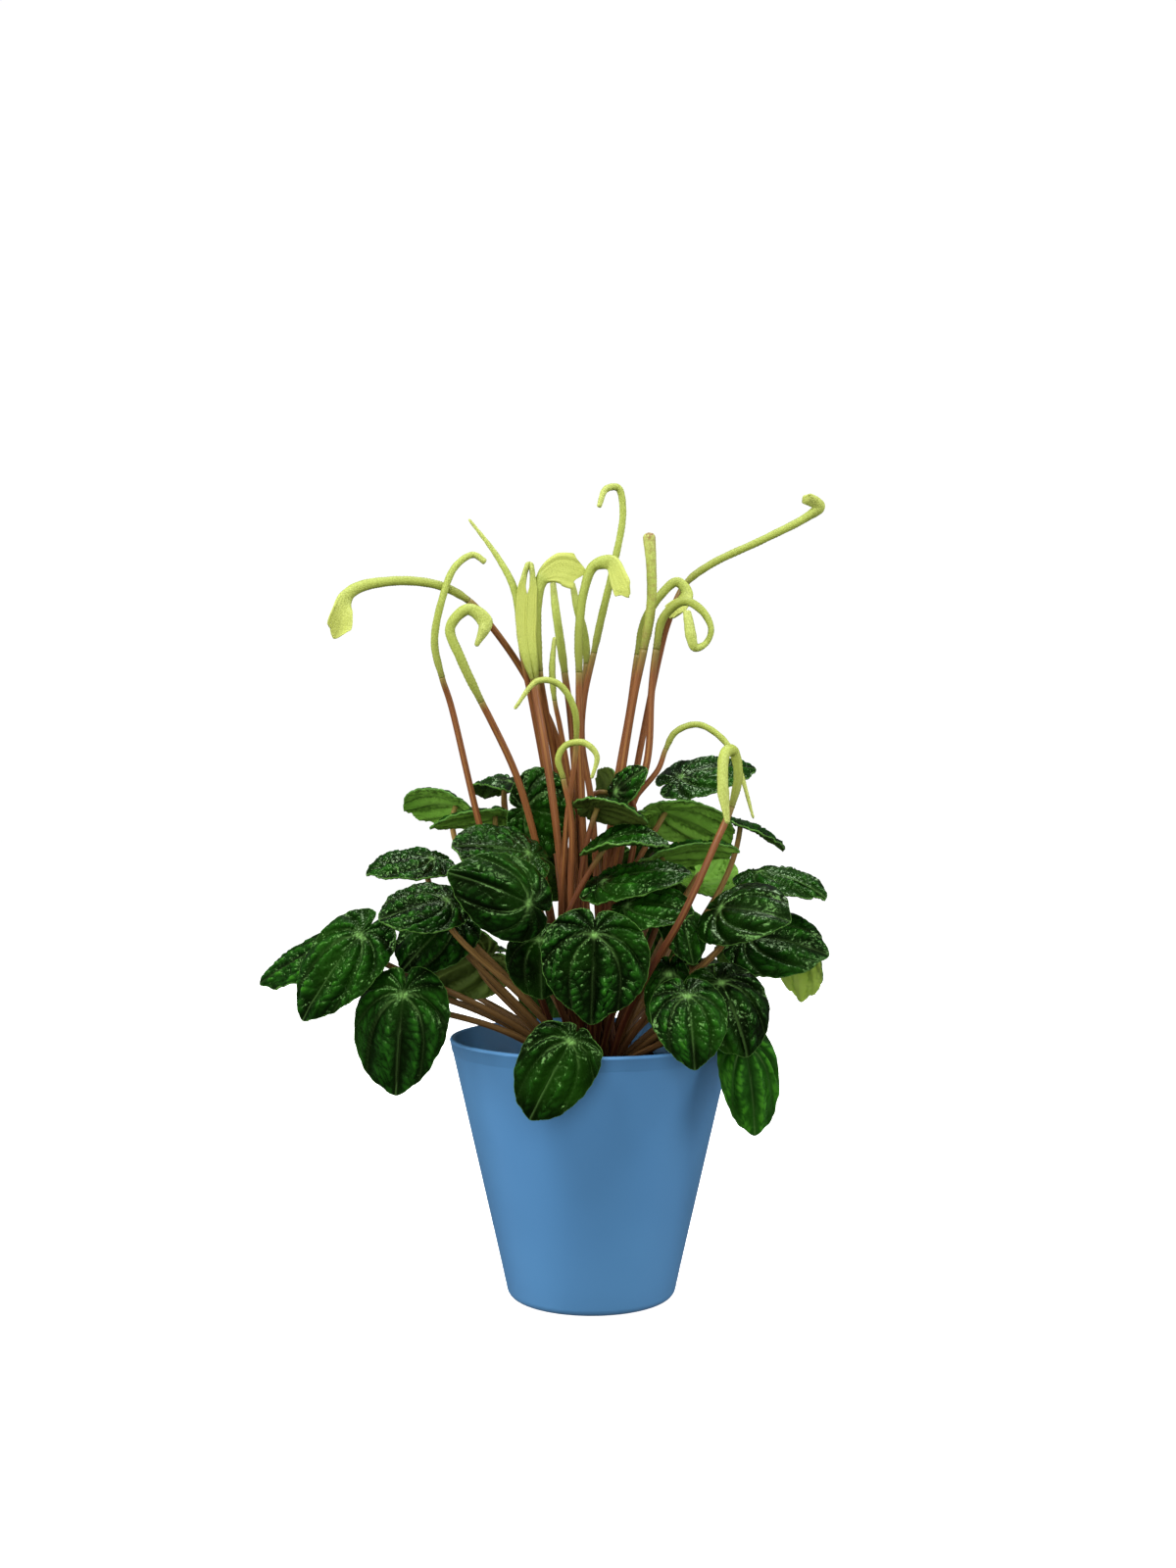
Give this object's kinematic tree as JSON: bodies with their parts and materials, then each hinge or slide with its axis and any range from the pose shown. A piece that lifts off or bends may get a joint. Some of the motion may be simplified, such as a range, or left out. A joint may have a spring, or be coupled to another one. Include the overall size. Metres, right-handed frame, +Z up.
{
  "type": "potted houseplant",
  "caption": "Ripple peperomia houseplant with quilted heart-shaped leaves on long stalks and pale flower spikes, growing in a plain tapered pot.",
  "frame": {"origin": "centre of the pot's flat underside, the face that stands on the floor", "axes": "+Z up, along the pot's axis; -Y towards the front, where the pictured side of the plant faces; +X to the right seen from the front"},
  "size_m": [0.2297, 0.1566, 0.3317],
  "materials": {
    "pot": "satin blue moulded plastic",
    "soil": null,
    "stalk": null,
    "leaf": null,
    "spike": null
  },
  "bodies": {
    "root": {"leaf_01": "leaf", "leaf_02": "leaf", "leaf_03": "leaf", "leaf_04": "leaf", "leaf_05": "leaf", "leaf_06": "leaf", "leaf_07": "leaf", "leaf_08": "leaf", "leaf_09": "leaf", "leaf_10": "leaf", "leaf_11": "leaf", "leaf_12": "leaf", "leaf_13": "leaf", "leaf_14": "leaf", "leaf_15": "leaf", "leaf_16": "leaf", "leaf_17": "leaf", "leaf_18": "leaf", "leaf_19": "leaf", "leaf_20": "leaf", "leaf_21": "leaf", "leaf_22": "leaf", "leaf_23": "leaf", "leaf_24": "leaf", "leaf_25": "leaf", "leaf_26": "leaf", "leaf_27": "leaf", "leaf_28": "leaf", "leaf_29": "leaf", "leaf_30": "leaf", "leaf_31": "leaf", "leaf_32": "leaf", "leaf_33": "leaf", "leaf_34": "leaf", "leaf_35": "leaf", "leaf_36": "leaf", "leaf_37": "leaf", "leaf_38": "leaf", "leaf_39": "leaf", "leaf_40": "leaf", "pot": "pot", "soil": "soil", "spike_01": "spike", "spike_02": "spike", "spike_03": "spike", "spike_04": "spike", "spike_05": "spike", "spike_06": "spike", "spike_07": "spike", "spike_08": "spike", "spike_09": "spike", "spike_10": "spike", "spike_11": "spike", "spike_12": "spike", "spike_13": "spike", "spike_14": "spike", "spike_15": "spike", "spike_16": "spike", "spike_17": "spike", "stalks": "stalk"}
  },
  "joints": []
}
